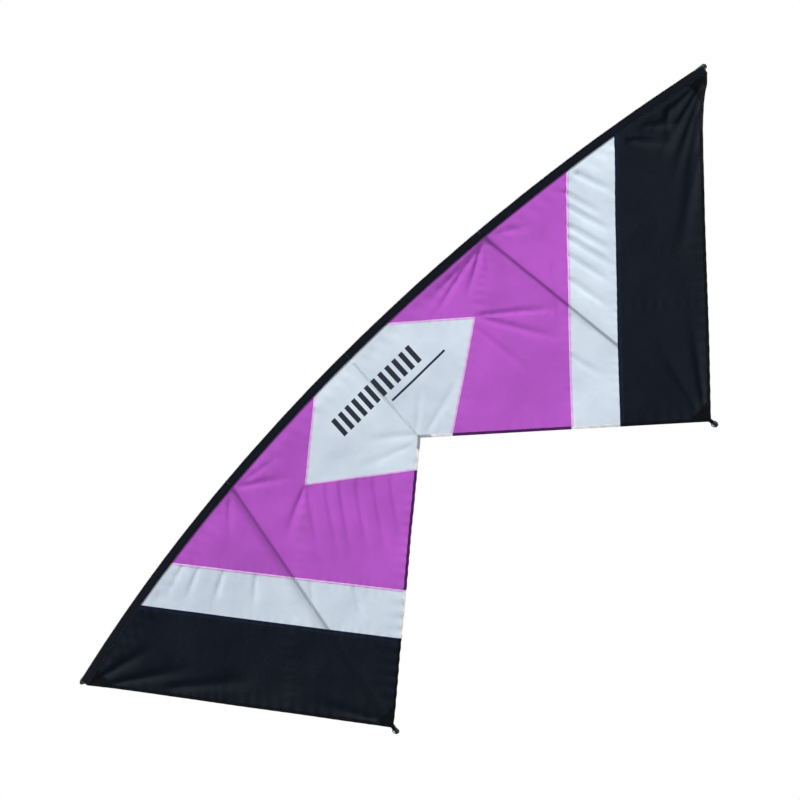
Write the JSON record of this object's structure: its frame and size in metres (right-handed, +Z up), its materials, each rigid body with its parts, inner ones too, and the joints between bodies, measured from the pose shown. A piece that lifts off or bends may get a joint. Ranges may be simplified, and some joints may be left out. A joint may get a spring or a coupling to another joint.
{
  "type": "framed quad-line kite",
  "caption": "Wide framed stunt kite: flat sewn sail with a bowed leading edge sleeve on carbon tubes, two rear spars and a notched trailing edge.",
  "frame": {"origin": "centre of the leading edge tube on the middle of the span, where a bridle or stand holds the kite", "axes": "+X to the right wing tip as seen from the printed front, +Y to the back where the spars are, +Z up toward the leading edge"},
  "size_m": [2.363, 0.161, 0.8106],
  "materials": {
    "cloth_white": "satin",
    "cloth_magenta": "satin",
    "cloth_black": "satin",
    "edge_tape": "matte",
    "patch": "matte",
    "binding": "matte",
    "sleeve": "matte",
    "webbing": "matte",
    "carbon": "gloss",
    "cap": "matte",
    "shock_cord": "matte"
  },
  "bodies": {
    "sail": {"center_panel_left": "cloth_white", "center_panel_right": "cloth_white", "inner_panel_left": "cloth_magenta", "inner_panel_right": "cloth_magenta", "stripe_panel_left": "cloth_white", "stripe_panel_right": "cloth_white", "tip_panel_left": "cloth_black", "tip_panel_right": "cloth_black", "leech_tape_left": "edge_tape", "leech_tape_right": "edge_tape", "trailing_tape_left": "edge_tape", "trailing_tape_right": "edge_tape", "tip_patch_left": "patch", "tip_patch_right": "patch", "foot_patch_left": "patch", "foot_patch_right": "patch", "leading_edge_sleeve_left": "sleeve", "leading_edge_sleeve_right": "sleeve", "tip_tab_left": "webbing", "tip_tab_right": "webbing", "foot_tab_left": "webbing", "foot_tab_right": "webbing", "ferrule_left": "carbon", "ferrule_right": "carbon", "notch_binding": "binding", "center_tube": "carbon"},
    "left_outer_tube": {"outer_tube_left": "carbon", "tip_cap_left": "cap", "tip_loop_left": "shock_cord"},
    "left_down_spar": {"down_spar_left": "carbon", "spar_top_cap_left": "cap", "spar_top_loop_left": "shock_cord", "spar_foot_cap_left": "cap"},
    "left_foot_loop": {"foot_loop_left": "shock_cord"},
    "right_outer_tube": {"outer_tube_right": "carbon", "tip_cap_right": "cap", "tip_loop_right": "shock_cord"},
    "right_down_spar": {"down_spar_right": "carbon", "spar_top_cap_right": "cap", "spar_top_loop_right": "shock_cord", "spar_foot_cap_right": "cap"},
    "right_foot_loop": {"foot_loop_right": "shock_cord"}
  },
  "joints": [
    {"name": "left_outer_tube_pull", "type": "hinge", "parent": "sail", "child": "left_outer_tube", "pos_m": [0, 3.44763, -2.11454], "axis": [0, -0.5228, -0.8524], "range_deg": [0, 0.425], "stiffness_Nm_per_rad": 4900, "springref_deg": -0.14, "deforming": ["tip_loop_left"]},
    {"name": "left_down_spar_swing", "type": "hinge", "parent": "sail", "child": "left_down_spar", "pos_m": [-0.47192, 0.02355, -0.01444], "axis": [0.9932, -0.0995, 0.061], "range_deg": [0, 80]},
    {"name": "left_foot_loop_stretch", "type": "slide", "parent": "sail", "child": "left_foot_loop", "axis": [-0.1374, 0.0371, -0.9898], "range_m": [0, 0.012], "stiffness_N_per_m": 400, "springref_m": -0.005, "deforming": ["foot_loop_left"]},
    {"name": "right_outer_tube_pull", "type": "hinge", "parent": "sail", "child": "right_outer_tube", "pos_m": [0, 3.44763, -2.11454], "axis": [0, 0.5228, 0.8524], "range_deg": [0, 0.425], "stiffness_Nm_per_rad": 4900, "springref_deg": -0.14, "deforming": ["tip_loop_right"]},
    {"name": "right_down_spar_swing", "type": "hinge", "parent": "sail", "child": "right_down_spar", "pos_m": [0.47192, 0.02355, -0.01444], "axis": [0.9932, 0.0995, -0.061], "range_deg": [0, 80]},
    {"name": "right_foot_loop_stretch", "type": "slide", "parent": "sail", "child": "right_foot_loop", "axis": [0.1374, 0.0371, -0.9898], "range_m": [0, 0.012], "stiffness_N_per_m": 400, "springref_m": -0.005, "deforming": ["foot_loop_right"]}
  ]
}
